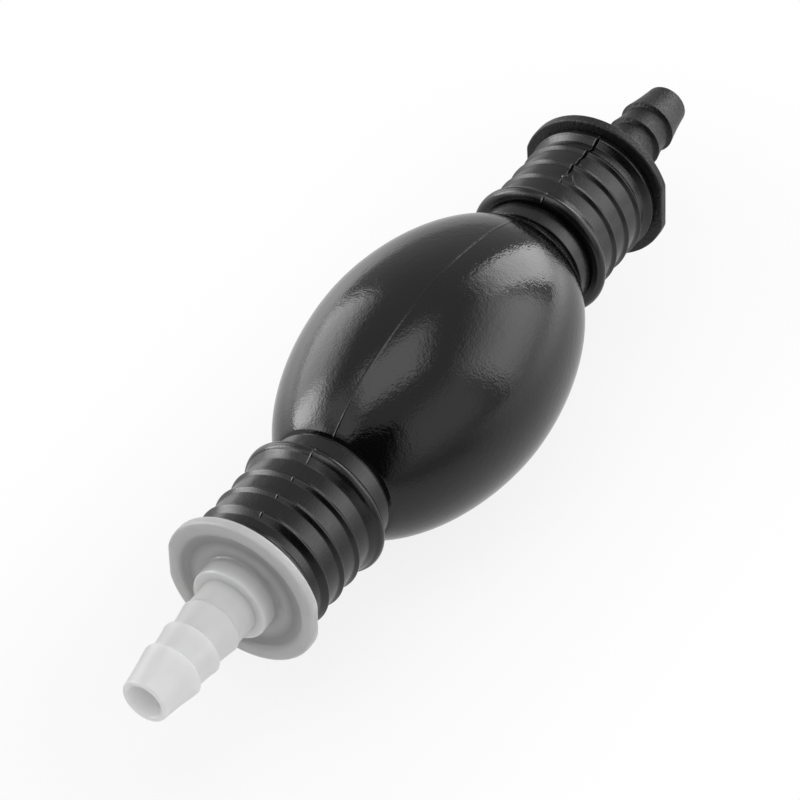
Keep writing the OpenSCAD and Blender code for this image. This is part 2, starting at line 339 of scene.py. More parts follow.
def make_piece(name, shells, replaced, slot):
    """Mesh object of closed surfaces, smooth shaded and in metres, each with its faces turned outwards. It rides with
    the pump's body, stands for one CAD node and takes its finish from one material slot."""
    points = np.vstack([shell[0] for shell in shells]) * MM
    corners, sizes, first = [], [], 0
    for shell_points, faces in shells:
        inside_out = shell_volume(shell_points, faces) < 0
        for block in faces:
            block = block[:, ::-1] if inside_out else block
            corners.append((block + first).ravel())
            sizes.append(np.full(len(block), block.shape[1]))
        first += len(shell_points)
    corners, sizes = np.concatenate(corners), np.concatenate(sizes)
    mesh = bpy.data.meshes.new(name)
    mesh.vertices.add(len(points))
    mesh.vertices.foreach_set("co", points.astype(np.float32).ravel())
    mesh.loops.add(len(corners))
    mesh.loops.foreach_set("vertex_index", corners.astype(np.int32))
    mesh.polygons.add(len(sizes))
    mesh.polygons.foreach_set("loop_start", (np.cumsum(sizes) - sizes).astype(np.int32))
    mesh.polygons.foreach_set("loop_total", sizes.astype(np.int32))
    mesh.polygons.foreach_set("use_smooth", np.ones(len(sizes), dtype=bool))
    mesh.update(calc_edges=True)
    if mesh.validate(verbose=False):
        raise RuntimeError(f"the mesh of {name} had to be repaired")
    mesh.materials.append(finish_named(slot))
    piece = bpy.data.objects.new(name, mesh)
    bpy.context.scene.collection.objects.link(piece)
    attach(piece, "pump")
    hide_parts(replaced)
    return piece


# ---- bulb


def bulb_radius(sizes, station):
    """Radius of the bulb at a station: r = R * (1 - (station / reach) ** full_long) ** (1 / full_wide)."""
    filled = 1 - np.power(np.abs(station) / mm(sizes.reach), sizes.full_long)
    return mm(sizes.radius) * np.power(filled, 1 / sizes.full_wide)


def rib_outline(sizes, station):
    """The four corners of a rib that stands on the neck."""
    foot, crest = mm(sizes.rib_width) / 2, mm(sizes.rib_width) / 16
    low, high = mm(sizes.neck), mm(sizes.neck + sizes.rib_height)
    return [[low, station - foot], [high, station - crest], [high, station + crest], [low, station + foot]]


def skin_half(sizes):
    """Outside of the bulb and one neck, from the middle to the mouth."""
    station = np.linspace(0, BULB_END, 160)
    collar, neck, bead = mm(sizes.collar), mm(sizes.neck), mm(sizes.bead)
    middle_rib, pitch = mm(sizes.rib_station), mm(sizes.rib_pitch)
    return np.vstack([
        np.column_stack([bulb_radius(sizes, station), station]),
        [[RECESS_RADIUS, BULB_END + 0.4], [RECESS_RADIUS, COLLAR[0] - 0.3], [collar, COLLAR[0]], [collar, COLLAR[1]]],
        [[GROOVE_RADIUS + 0.1, GROOVE[0] - 0.15], [GROOVE_RADIUS, GROOVE[0]], [GROOVE_RADIUS, GROOVE[1]]],
        arc(bead - BEAD_ROUND, BEAD_STATION, BEAD_ROUND, -90, 58, 24),
        [[neck, BEAD_FOOT]],
        *(rib_outline(sizes, middle_rib + number * pitch) for number in (-1, 0, 1)),
        [[DIP_RADIUS, DIP[0]], [DIP_RADIUS, DIP[1]]],
        arc(LIP_RADIUS - LIP_ROUND, LIP[0] + LIP_ROUND, LIP_ROUND, -70, 0, 6),
        arc(LIP_RADIUS - LIP_ROUND, LIP[1], LIP_ROUND, 0, 70, 6),
        [[LIP_RADIUS - 0.6, MOUTH]],
    ])


def lining_half(sizes):
    """Inside of the bulb and one neck, from the middle to the mouth: half an ellipse, then the line of the spigot."""
    station = np.linspace(0, CHAMBER_END, 80)
    chamber = mm(sizes.radius - sizes.wall) * np.sqrt(1 - np.square(station / CHAMBER_REACH))
    return np.vstack([np.column_stack([chamber, station]), [[THROAT_RADIUS, NOSE], *SPIGOT_LINE]])


def both_ways(half):
    """A line from the middle to one mouth, led on from the other mouth."""
    return np.vstack([half[:0:-1] * [1, -1], half])


def angle_from(angle, middle):
    """Signed angle from middle, in radians, between half a turn each way."""
    return (angle - middle + np.pi) % FULL_TURN - np.pi


def crack_course(station):
    """Angle about the axis, in radians, of the ragged parting line on the outlet neck at a station."""
    stations = [40.8, 45.7, 47.3, 49.2, 51.5, 54.0, 56.5, 58.2]
    degrees = [92.6, 92.2, 92.5, 92.9, 93.3, 93.8, 94.3, 94.8]
    ragged = 0.25 * np.sin(2.3 * station) + 0.15 * np.sin(5.1 * station + 1)
    return np.radians(np.interp(station, stations, degrees) + ragged)


def parting_relief(sizes):
    """Height of the parting line on the skin: a low ridge along the bulb, a tick over each rib and bead, and on the
    outlet neck a ragged ridge with a split beside it, a pit where the split starts and a drop of flash at its end.
    Each is a bell curve across its line."""
    ridge, tick, trace, width = mm(sizes.seam_height), 0.09, 0.02, 0.15
    skin_floor, split_start, pit_turn = 10.8, 46.5, np.radians(92.2)

    def relief(radius, station, angle):
        on_skin = radius > skin_floor
        on_bulb = on_skin & (np.abs(station) < COLLAR[0])
        raised = on_skin & ~on_bulb & (radius > mm(sizes.neck) + 0.2) & (np.abs(station) < LIP[0])
        slanted = SEAM_SLANT * np.clip(station, -SEAM_SLANT_REACH, SEAM_SLANT_REACH)
        rise = 0.0
        for middle in (sizes.seam_turn, sizes.seam_turn + np.pi):
            off = radius * angle_from(angle, middle + slanted)
            rise = rise + np.where(on_bulb, ridge, np.where(raised, tick, trace * on_skin)) * bell(off, width)
        off = radius * angle_from(angle, crack_course(station))
        split = 0.16 * bell(off + 0.24, 0.12) - 0.5 * bell(off - 0.08, 0.16)
        split = np.where(on_skin & (station > split_start), split, 0)
        pit = -0.6 * on_skin * bell(station - 45.7, 0.38) * bell(radius * angle_from(angle, pit_turn), 0.34)
        flash = 0.22 * on_skin * bell(station - 57.9, 0.35) * bell(off, 0.3)
        return rise + split + pit + flash

    return relief


def smooth_course(knots, count):
    """Line through knots in equal steps of the knot number, smoothed by a Hann window."""
    knots = np.asarray(knots, float)
    place = np.linspace(0, len(knots) - 1, count)
    raw = np.column_stack([np.interp(place, np.arange(len(knots)), knots[:, k]) for k in range(knots.shape[1])])
    window = np.hanning(2 * (count // len(knots)) + 3)
    window /= window.sum()
    half = len(window) // 2
    padded = np.vstack([np.repeat(raw[:1], half, 0), raw, np.repeat(raw[-1:], half, 0)])
    return np.column_stack([np.convolve(padded[:, k], window, mode="valid") for k in range(knots.shape[1])])


def flash_lines(sizes):
    """Small raised lines of flash on the outlet neck: a curved one beside the parting line and three short strokes.
    Each is a tube along a smooth line, and its radius is size * sqrt(sin(a)) for a from 0.12 to pi - 0.12."""
    lines = [
        ([[46.9, 96.3], [46.2, 98.2], [45.4, 101.0], [45.0, 103.5], [44.2, 106.5]], 0.17, 40),
        ([[50.0, 95.8], [49.3, 97.8]], 0.15, 12),
        ([[42.4, 105.3], [41.3, 106.1]], 0.09, 12),
        ([[42.95, 107.1], [41.6, 108.2]], 0.09, 12),
    ]
    radius = mm(sizes.neck) + 0.02
    shells = []
    for knots, size, count in lines:
        station, degrees = smooth_course(knots, count).T
        angle = np.radians(degrees)
        path = np.column_stack([station, radius * np.cos(angle), radius * np.sin(angle)])
        taper = size * np.sqrt(np.clip(np.sin(np.linspace(0.12, np.pi - 0.12, count)), 0, 1))
        shells.append(tube_shell(path, taper, path * [0, 1, 1]))
    return shells


# ---- fittings


def barb_cone(start, end, count=14):
    """Side of a barb from (radius, station) start to end: a straight cone, hollowed by a small half wave."""
    share_along = np.linspace(0, 1, count)
    line = np.outer(1 - share_along, start) + np.outer(share_along, end)
    line[:, 0] -= CONE_BOW * np.sin(np.pi * share_along)
    return line


def fitting_outline(sizes, flange, snap, seat, lip):
    """Closed outline of a fitting: spigot, flange, dish, boss, barbed tail, and back down the flow bore. lip is the
    round on the flange's rim, snap the station of the inner groove, and seat adds a valve seat's land."""
    face = MOUTH + mm(sizes.flange)
    floor = face - mm(sizes.dish)
    boss, root, barb, waist, tip = (mm(v) for v in (sizes.boss, sizes.root, sizes.barb, sizes.waist, sizes.tip))
    first, pitch, end = mm(sizes.barb_station), mm(sizes.barb_pitch), mm(sizes.tip_station)
    bore = [[BORE_RADIUS, end - 0.25], [BORE_RADIUS, SPIGOT_FLOOR]]
    if seat:
        bore += [[SEAT[0], SPIGOT_FLOOR], [SEAT[0], SPIGOT_FLOOR - SEAT_LAND]]
        bore += [[SEAT[1], SPIGOT_FLOOR - SEAT_LAND], [SEAT[1], SPIGOT_FLOOR]]
    groove = [[SPIGOT_BORE, snap + 0.7], [SPIGOT_BORE + SNAP_HEIGHT, snap + 0.35]]
    groove += [[SPIGOT_BORE + SNAP_HEIGHT, snap - 0.35], [SPIGOT_BORE, snap - 0.7]]
    return np.vstack([
        [[SPIGOT_BORE + 0.4, NOSE], *SPIGOT_LINE],
        arc(mm(flange) - 0.4, MOUTH + 0.4, 0.4, -90, 0, 8),
        arc(mm(flange) - lip, face - lip, lip, 0, 90, 8),
        [[DISH_OUT, face], [DISH_OUT - 0.5, face - 0.07], [DISH_IN + 0.5, floor + 0.07], [DISH_IN, floor]],
        [[boss + 0.3, floor], [boss, floor + 0.3]],
        arc(boss - 0.4, BOSS_FACE - 0.4, 0.4, 0, 90, 6),
        [[root, BOSS_FACE], [root, first - SHOULDER]],
        barb_cone([barb, first], [waist, first + pitch - SHOULDER]),
        barb_cone([barb, first + pitch], [waist, first + 2 * pitch - SHOULDER]),
        barb_cone([barb, first + 2 * pitch], [tip, end - 0.2]),
        [[tip - 0.2, end], [BORE_RADIUS + 0.25, end]],
        bore,
        [[SPIGOT_BORE, SPIGOT_FLOOR]],
        groove,
        [[SPIGOT_BORE, NOSE + 0.4]],
    ])


def flatten_flange(flange, flats, turned, soft):
    """Change of radius that gives a flange two flats: the rim beyond the dish is drawn in so that its reach is the
    smooth minimum of the round rim and of the flat, which lies at half of flats / |cos(angle - turned)|."""

    def reach(radius, angle):
        flat = flats / 2 / np.maximum(np.abs(np.cos(angle - turned)), 0.2)
        rim = -soft * np.log(np.exp(-flange / soft + 100) + np.exp(-flat / soft + 100)) + 100 * soft
        beyond = np.maximum(radius - DISH_OUT, 0)
        return np.minimum(radius, DISH_OUT) + beyond * (rim - DISH_OUT) / (flange - DISH_OUT)

    return reach


def flange_turns(turned, half_angle):
    """Angles round a flange, closer at the four corners where its flats meet its round rim."""
    corners = [turned + half for half in (-half_angle, half_angle, 180 - half_angle, 180 + half_angle)]
    return turns_about(3, [(corner % 360, 3, 0.75) for corner in corners])


def soft_box(near, far, spread, step):
    """Rectangle between two opposite corners, with softened corners, as a closed outline."""
    return soften(np.array([near, [far[0], near[1]], far, [near[0], far[1]]]), spread, step)


def arm_shells(turned):
    """The four arms that carry the stem's guide inside the outlet spigot, cut short round the flow bore. Each is two
    bars that run straight out from the axis."""
    thick = ARM_THICKNESS / 2
    inner = soft_box([ARM_START, -thick], [SPIGOT_FLOOR - 1.9, thick], 0.06, 0.2)
    outer = soft_box([SPIGOT_FLOOR - 2, -thick], [SPIGOT_FLOOR + 0.4, thick], 0.06, 0.2)
    lengthwise = np.array([1.0, 0, 0])
    shells = []
    for angle in turned + np.arange(4) * np.pi / 2:
        along, across = np.array([[0, np.cos(angle), np.sin(angle)], [0, -np.sin(angle), np.cos(angle)]])
        for section, start in ((inner, SLEEVE_BORE + 0.4), (outer, SEAT[0])):
            shells.append(swept_shell(section, start, SPIGOT_BORE + 0.4, along, lengthwise, across))
    return shells


def witness_relief(radius, station, angle):
    """Height of a fine line that runs across the dish of the inlet fitting from its boss: a bell curve across it."""
    in_dish = (station > MOUTH + 1) & (radius > 7.05) & (radius < 10.4)
    course = np.radians(np.interp(radius, [7.0, 10.4], [181.6, 179.0]))
    return 0.06 * in_dish * bell(radius * angle_from(angle, course), 0.1)


def coil_shell(sizes, start, side):
    """Spring wire: a tube round a screw line. After t turns its middle is at radius coil and angle 360 * t, and its
    station runs evenly from start to start plus the spring's length, less a wire's thickness at each end."""
    coil, wire, turns = mm(sizes.coil), mm(sizes.wire), sizes.turns
    t = np.linspace(0, turns, int(turns * 36) + 1)
    angle = FULL_TURN * t
    station = start + wire + (SPRING_LENGTH - 2 * wire) * t / turns
    outward = np.column_stack([np.zeros_like(t), np.cos(angle), np.sin(angle)])
    path = coil * outward + np.column_stack([side * station, np.zeros_like(t), np.zeros_like(t)])
    return tube_shell(path, wire, outward, 10)


# ---- materials


def node(tree, kind, values=None, **settings):
    """Adds a shader node. Each value is a number or colour for that input, or another node's output to link to it."""
    made = tree.nodes.new(f"ShaderNode{kind}")
    for name, value in settings.items():
        setattr(made, name, value)
    for name, value in (values or {}).items():
        if isinstance(value, bpy.types.NodeSocket):
            tree.links.new(value, made.inputs[name])
        else:
            made.inputs[name].default_value = value
    return made


def calc(operation, *values):
    """Output of a Math node. The first value is another node's output."""
    return node(values[0].id_data, "Math", dict(enumerate(values)), operation=operation).outputs[0]


def plus(first, second):
    """Sum of an output and a value."""
    return calc("ADD", first, second)


def times(first, second):
    """Product of an output and a value."""
    return calc("MULTIPLY", first, second)


def from_axis(y, z):
    """Distance from an axis: the root of y * y + z * z."""
    return calc("SQRT", plus(times(y, y), times(z, z)))


def ramp(value, low, high, start=0.0, end=1.0):
    """Smooth change from start to end as value runs from low to high."""
    inputs = {"Value": value, "From Min": low, "From Max": high, "To Min": start, "To Max": end}
    return node(value.id_data, "MapRange", inputs, interpolation_type="SMOOTHSTEP").outputs[0]


def toned(value, low, high, stops, unit=MM):
    """Brightness that depends on a value: each of stops is (value counted in units, brightness)."""
    inputs = {"Value": value, "From Min": low * unit, "From Max": high * unit}
    place = node(value.id_data, "MapRange", inputs).outputs[0]
    made = node(value.id_data, "ValToRGB", {"Fac": place})
    steps = made.color_ramp.elements
    while len(steps) < len(stops):
        steps.new(1.0)
    for step, (at, grey) in zip(steps, stops):
        step.position = (at - low) / (high - low)
        step.color = (grey, grey, grey, 1)
    return made.outputs["Color"]


def noise(place, scale, detail=2.0, roughness=0.5, stretch=None):
    """Noise between 0 and 1 in the piece's own coordinates; stretch multiplies its frequency along X, Y and Z."""
    tree = place.id_data
    if stretch:
        place = node(tree, "Mapping", {"Vector": place, "Scale": stretch}).outputs[0]
    inputs = {"Vector": place, "Scale": scale, "Detail": detail, "Roughness": roughness}
    return node(tree, "TexNoise", inputs).outputs["Fac"]


def mix_colour(factor, first, second):
    """Colour between first and second, which are colours or outputs."""
    first, second = (part if isinstance(part, bpy.types.NodeSocket) else (*part, 1) for part in (first, second))
    return node(factor.id_data, "Mix", {"Factor": factor, 6: first, 7: second}, data_type="RGBA").outputs[2]


def tinted(value, factor):
    """A colour made lighter or darker."""
    return tuple(min(part * factor, 1.0) for part in value)


def cleared(owner):
    """The node tree of a material or a world, emptied."""
    owner.use_nodes = True
    owner.node_tree.nodes.clear()
    return owner.node_tree


def new_finish(name):
    """An empty material with the piece's own coordinates: (material, place, x, y, z)."""
    finish = bpy.data.materials.new(f"{name}_finish")
    place = node(cleared(finish), "TexCoord").outputs["Object"]
    parts = node(finish.node_tree, "SeparateXYZ", {"Vector": place}).outputs
    return finish, place, parts["X"], parts["Y"], parts["Z"]


def surfaced(finish, surface):
    """Ends a material in this surface."""
    node(finish.node_tree, "OutputMaterial", {"Surface": surface})
    return finish


def finished(finish, base, roughness, height, distance, **more):
    """Ends a material in a Principled BSDF of that colour and roughness, its normal bent by height * distance."""
    bent = node(finish.node_tree, "Bump", {"Height": height, "Distance": distance, "Strength": 1.0})
    values = {"Base Color": base, "Roughness": roughness, "Normal": bent.outputs[0]}
    values.update({name.replace("_", " "): value for name, value in more.items()})
    return surfaced(finish, node(finish.node_tree, "BsdfPrincipled", values).outputs["BSDF"])


# Painted shade and light of the natural plastic by radius on its flange, and by station along its tail, both in
# millimetres: darker in the ring of the dish, a little lighter at the very edge of the rim, and darker towards the
# tail's root
NATURAL_FLANGE_PAINTED_SHADE = ((6.9, 0.53), (8.6, 0.5), (10.0, 0.32), (10.8, 0.37), (11.6, 0.46), (12.4, 0.53), (13.3, 0.53),
                        (14.0, 0.47), (14.4, 0.55))
NATURAL_TAIL_PAINTED_SHADE = ((60.5, 0.6), (63.4, 0.74), (65.2, 0.82), (68.6, 0.82), (74.0, 0.86), (84.0, 0.91))


def rubber_finish(look):
    """Black rubber: polished with an orange-peel surface on the bulb, satin with fine lengthwise marks on the necks,
    and worn smoother on the crests of the ribs, where a lighter grey is painted as a highlight as well as wear."""
    finish, place, x, y, z = new_finish("bulb_rubber")
    on_bulb = ramp(calc("ABSOLUTE", x), 0.0318, 0.0323, 1, 0)
    off_bulb = ramp(on_bulb, 0, 1, 1, 0)
    crest = times(ramp(from_axis(y, z), 0.01245, 0.0126), off_bulb)
    cloud = noise(place, 70, 3, 0.55)
    peel = noise(place, 2500, 1.5, 0.5)
    swell = noise(place, 850, 1, 0.5)
    marks = noise(place, 1.0, 3, 0.65, stretch=(420, 2600, 2600))
    grain = noise(place, 2800, 2, 0.6)
    bulb_height = times(plus(peel, swell), 6)
    neck_height = plus(times(marks, 2.4), times(grain, 4.0))
    height = plus(times(bulb_height, on_bulb), times(neck_height, off_bulb))
    bulb_rough = ramp(cloud, 0.3, 0.7, 0.06, 0.12)
    neck_rough = ramp(marks, 0.3, 0.7, 0.17, 0.28)
    inputs = {"Factor": on_bulb, 2: neck_rough, 3: bulb_rough}
    rough = node(finish.node_tree, "Mix", inputs, data_type="FLOAT").outputs[0]
    base = mix_colour(ramp(cloud, 0.35, 0.65), tinted(look.rubber, 0.85), tinted(look.rubber, 1.25))
    # painted highlight and wear: a lighter grey on the rib crests
    crest_wear_and_highlight = mix_colour(times(crest, marks), base, tinted(look.rubber, 4))
    return finished(finish, crest_wear_and_highlight, calc("SUBTRACT", rough, times(crest, 0.1)), height, 0.000005, IOR=1.52)


def natural_finish(look):
    """Milky plastic that light soaks into. Painted shade makes the flange darker than the tail, most of all in the
    ring of its dish; it stands for the neck's black rubber behind the flange and for the dish's shade. A painted light
    makes the very edge of the rim a little lighter. Painted shade makes the tail darker towards its root, so it grows
    paler towards its tip, and the wall of its bore is painted white, a painted light against the shade in there."""
    finish, place, x, y, z = new_finish("natural_plastic")
    away = calc("ABSOLUTE", x)
    radius = from_axis(y, z)
    # painted shade in the flange's dish and painted light at its rim's edge
    flange_painted_shade = toned(radius, 6, 15, NATURAL_FLANGE_PAINTED_SHADE)
    # painted shade: the tail is darker towards its root
    tail_painted_shade = toned(away, 60, 88, NATURAL_TAIL_PAINTED_SHADE)
    # painted light: the bore's wall is painted white against its shade
    bore_painted_light = mix_colour(ramp(radius, 0.0031, 0.0034, 1, 0), tail_painted_shade, (1, 1, 1))
    # painted shade and light: flange tones up to the tail, tail and bore tones beyond
    painted_shade_and_light = mix_colour(ramp(away, 0.0603, 0.0611, 1, 0), bore_painted_light, flange_painted_shade)
    cloud = noise(place, 160, 3, 0.6)
    streaks = noise(place, 300, 2, 0.5, stretch=(0.35, 1, 1))
    mottled = mix_colour(ramp(streaks, 0.35, 0.7, 0.0, 0.12), look.natural, tinted(look.natural, 0.8))
    inputs = {"Factor": 1.0, 6: mottled, 7: painted_shade_and_light}
    base = node(finish.node_tree, "Mix", inputs, data_type="RGBA", blend_type="MULTIPLY").outputs[2]
    flow = noise(place, 420, 2, 0.5, stretch=(0.5, 1, 1))
    return finished(finish, base, ramp(cloud, 0.3, 0.7, 0.3, 0.42), flow, 0.00003, IOR=1.5, Subsurface_Weight=1.0,
                    Subsurface_Radius=(1.0, 1.0, 1.0), Subsurface_Scale=0.0045)


def black_finish(look):
    """Black moulded plastic with a fine matt grain and a few pale scuffs on the flange."""
    finish, place, *_ = new_finish("black_plastic")
    grain = noise(place, 2000, 3, 0.65)
    cloud = noise(place, 90, 3, 0.6)
    strokes = noise(place, 1.0, 2, 0.5, stretch=(260, 900, 3800))
    scuffs = times(ramp(strokes, 0.64, 0.72), ramp(cloud, 0.5, 0.6))
    base = mix_colour(ramp(cloud, 0.3, 0.7), tinted(look.black, 0.9), tinted(look.black, 1.15))
    marked = mix_colour(scuffs, base, tinted(look.black, 3))
    height = plus(grain, times(scuffs, 0.6))
    return finished(finish, marked, ramp(grain, 0.3, 0.7, 0.26, 0.46), height, 0.00016, IOR=1.42)


def valve_finish(look):
    """Off-white moulded plastic with a faint mottle."""
    finish, place, *_ = new_finish("valve_plastic")
    cloud = noise(place, 500, 3, 0.6)
    base = mix_colour(ramp(cloud, 0.3, 0.7), tinted(look.valve, 0.94), tinted(look.valve, 1.04))
    return finished(finish, base, ramp(cloud, 0.3, 0.7, 0.38, 0.5), cloud, 0.00001, IOR=1.5)


def seal_finish(look):
    """Dark matt rubber with a fine grain."""
    finish, place, *_ = new_finish("seal_rubber")
    grain = noise(place, 4000, 2, 0.6)
    base = mix_colour(grain, tinted(look.seal, 0.8), tinted(look.seal, 1.3))
    return finished(finish, base, ramp(grain, 0.2, 0.8, 0.6, 0.75), grain, 0.00001, IOR=1.5)


def steel_finish(look):
    """Drawn spring wire with fine lines and a little tarnish."""
    finish, place, *_ = new_finish("spring_steel")
    lines = noise(place, 1.0, 2, 0.5, stretch=(9000, 1500, 1500))
    tarnish = noise(place, 700, 2, 0.6)
    base = mix_colour(ramp(tarnish, 0.45, 0.75), look.steel, tinted(look.steel, 0.72))
    return finished(finish, base, ramp(lines, 0.25, 0.75, 0.2, 0.34), lines, 0.000004, Metallic=1.0)


FINISHES = {"bulb_rubber": rubber_finish, "natural_plastic": natural_finish, "black_plastic": black_finish,
            "valve_plastic": valve_finish, "seal_rubber": seal_finish, "spring_steel": steel_finish}


def finish_named(name):
    """The finish for that material slot, made on its first use."""
    return bpy.data.materials.get(f"{name}_finish") or FINISHES[name](bpy.context.scene.pump_finishes)


# ---- operators


class PUMP_OT_bulb(bpy.types.Operator):
    """Make the rubber bulb with its two ribbed necks"""

    bl_idname = "pump.bulb"
    bl_label = "Bulb and necks"

    def execute(self, context):
        sizes = context.scene.pump_bulb
        outline = np.vstack([both_ways(skin_half(sizes)), both_ways(lining_half(sizes))[::-1]])
        points = soften(outline, CRISP)
        radius, away = points[:, 0], np.abs(points[:, 1])
        skin_floor = np.where(away < BULB_END, 0.9 * bulb_radius(sizes, np.minimum(away, BULB_END)), 10.4)
        neck_gap, bulb_gap, inner_gap = 0.36, 1.4, 3.5
        longest = np.where(radius > skin_floor, np.where(away > BULB_END, neck_gap, bulb_gap), inner_gap)
        seam = np.degrees(sizes.seam_turn)
        angles = turns_about(3, [(seam + 0.9, 3.6, 0.24), (seam + 180, 1.5, 0.3)])
        skin = turned_shell(respace(points, 13, longest), angles, OUTLET, parting_relief(sizes))
        make_piece("bulb_skin", [skin, *flash_lines(sizes)], "bulb", "bulb_rubber")
        return {"FINISHED"}


class PUMP_OT_inlet_fitting(bpy.types.Operator):
    """Make the milky hose fitting of the inlet end"""

    bl_idname = "pump.inlet_fitting"
    bl_label = "Inlet fitting"

    def execute(self, context):
        sizes = context.scene.pump_fittings
        points = soften(fitting_outline(sizes, sizes.inlet_flange, INLET_SNAP, True, 0.5), MOULDED)
        radius, station = points.T
        in_dish = (station > MOUTH + 1) & (radius > 7) & (radius < DISH_IN)
        in_sight = (station > MOUTH - 0.2) & (radius > 3.5)
        rows = respace(points, 10, np.where(in_dish, 0.35, np.where(in_sight, 0.5, 1.6)))
        reach = flatten_flange(mm(sizes.inlet_flange), mm(sizes.inlet_flats), sizes.inlet_turn, 0.06)
        angles = np.union1d(flange_turns(np.degrees(sizes.inlet_turn), 13.5), turns_about(360, [(180.3, 2.5, 0.4)]))
        body = turned_shell(rows, angles, INLET, witness_relief, reach)
        make_piece("inlet_fitting_body", [body], "inlet_fitting", "natural_plastic")
        return {"FINISHED"}


class PUMP_OT_outlet_fitting(bpy.types.Operator):
    """Make the black hose fitting of the outlet end, with its stem guide"""

    bl_idname = "pump.outlet_fitting"
    bl_label = "Outlet fitting"

    def execute(self, context):
        sizes = context.scene.pump_fittings
        points = soften(fitting_outline(sizes, sizes.outlet_flange, OUTLET_SNAP, False, 0.3), CRISP)
        radius, station = points.T
        in_sight = (station > MOUTH - 0.2) & (radius > 3.5)
        rows = respace(points, 11, np.where(in_sight, 0.35, 1.6))
        reach = flatten_flange(mm(sizes.outlet_flange), mm(sizes.outlet_flats), sizes.outlet_turn, 0.03)
        body = turned_shell(rows, flange_turns(np.degrees(sizes.outlet_turn), 17.6), OUTLET, reach=reach)
        sleeve = soft_box([SLEEVE_BORE, SLEEVE[0]], [SLEEVE_RADIUS, SLEEVE[1]], 0.04, 0.02)
        guide = turned_shell(respace(sleeve, 25, 2), turns_about(7.5), OUTLET)
        shells = [body, guide, *arm_shells(sizes.outlet_turn)]
        make_piece("outlet_fitting_body", shells, "outlet_fitting", "black_plastic")
        return {"FINISHED"}


class PUMP_OT_springs(bpy.types.Operator):
    """Make the two closing springs"""

    bl_idname = "pump.springs"
    bl_label = "Valve springs"

    def execute(self, context):
        sizes = context.scene.pump_valves
        springs = (("inlet", INLET, INLET_SPRING_START, -INLET_SPRING_START),
                   ("outlet", OUTLET, OUTLET_SPRING_START, OUTLET_SPRING_START + SPRING_LENGTH))
        for end, side, start, held in springs:
            piece = make_piece(f"{end}_spring_coil", [coil_shell(sizes, start, side)], f"{end}_spring", "spring_steel")
            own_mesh(piece)
        return {"FINISHED"}


class PUMP_OT_valves(bpy.types.Operator):
    """Give the poppets, seals, cage and seat ring their finishes"""

    bl_idname = "pump.valves"
    bl_label = "Valve parts"

    def execute(self, context):
        worn = {
            "valve_plastic": ("inlet_poppet", "outlet_poppet", "inlet_valve_cage"),
            "black_plastic": ("outlet_valve_seat",),
            "seal_rubber": ("inlet_poppet_seal", "outlet_poppet_seal"),
        }
        for finish, names in worn.items():
            for slot in (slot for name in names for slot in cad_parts[name].material_slots):
                slot.material = finish_named(finish)
        return {"FINISHED"}


# ---- studio

# Each panel: name, azimuth and elevation of its middle, width and height as seen from the pump, in degrees, distance
# in metres, brightness, and the shares of its width and height over which its edges fade
PANELS = (
    ("lamp_overhead", -130, 85, 40, 53, 1.25, 1.9, 0.25, 0.25),
    ("lamp_left", -169, 13, 82, 70, 1.2, 3.0, 0.07, 0.42),
    ("lamp_left_core", -163, 12, 28, 52, 1.12, 6.8, 0.35, 0.42),
    ("lamp_right_strip", 82, 18, 23, 62, 1.1, 4.0, 0.12, 0.42),
    ("lamp_right", 45, 24, 46, 68, 1.2, 2.35, 0.15, 0.5),
    ("card_camera_side", -66, 22, 76, 66, 1.5, 0.01, 0.3, 0.12),
    ("card_front", -4, 28, 52, 56, 1.5, 0.85, 0.25, 0.35),
    ("card_behind_left", -122, 50, 52, 24, 1.45, 1.0, 0.2, 0.25),
)

# Painted glow of the far floor, seen in gloss alone, by azimuth in degrees, as a share of the top brightness given
# below; it stands for the lamps' light on that side. The brightness near the pump in gloss is a painted shadow.
PAINTED_GLOSS_GLOW_TOP = 2.0
PAINTED_GLOSS_SHADOW = 0.72
PAINTED_GLOSS_GLOW = ((-180, 0.85), (-150, 0.5), (-120, 0.35), (-40, 0.18), (0, 0.2), (20, 0.42), (45, 0.62), (62, 0.75),
               (75, 1.0), (88, 0.5), (100, 0.33), (130, 0.36), (150, 0.7), (180, 0.85))
FLOOR_HALF = 3
FLOOR_GAP = 0.0002
TENT_RADIUS = 1.9

# The camera's azimuth and elevation and the slope of the pump in its picture, in degrees, its distance and shift in
# metres, and its lens in millimetres
CAMERA_TOWARDS = (-58.8, 44.0)
CAMERA_SLOPE = 48.76
CAMERA_DISTANCE = 0.5283
CAMERA_SHIFT = (0.00707, 0.00105)
CAMERA_LENS = 137.3


def view_direction(azimuth, elevation):
    """Unit vector from the pump towards (azimuth, elevation) in degrees: azimuth 0 is -Y and 90 is +X."""
    a, e = np.radians(azimuth), np.radians(elevation)
    return np.array([np.sin(a) * np.cos(e), -np.cos(a) * np.cos(e), np.sin(e)])


def flat_grid(steps):
    """Square grid of steps by steps cells: its points' coordinates u and v, from -1 to 1, and its faces."""
    side = np.linspace(-1, 1, steps + 1)
    u, v = (part.ravel() for part in np.meshgrid(side, side))
    i, j = (part.ravel() for part in np.meshgrid(np.arange(steps), np.arange(steps), indexing="ij"))
    first = i * (steps + 1) + j
    return u, v, first[:, None] + [0, 1, steps + 2, steps + 1]


def staged(name, points, faces, finish):
    """Object that belongs to the studio alone."""
    mesh = bpy.data.meshes.new(name)
    mesh.from_pydata(points.tolist(), [], faces)
    mesh.materials.append(finish)
    made = bpy.data.objects.new(name, mesh)
    bpy.context.scene.collection.objects.link(made)
    return made


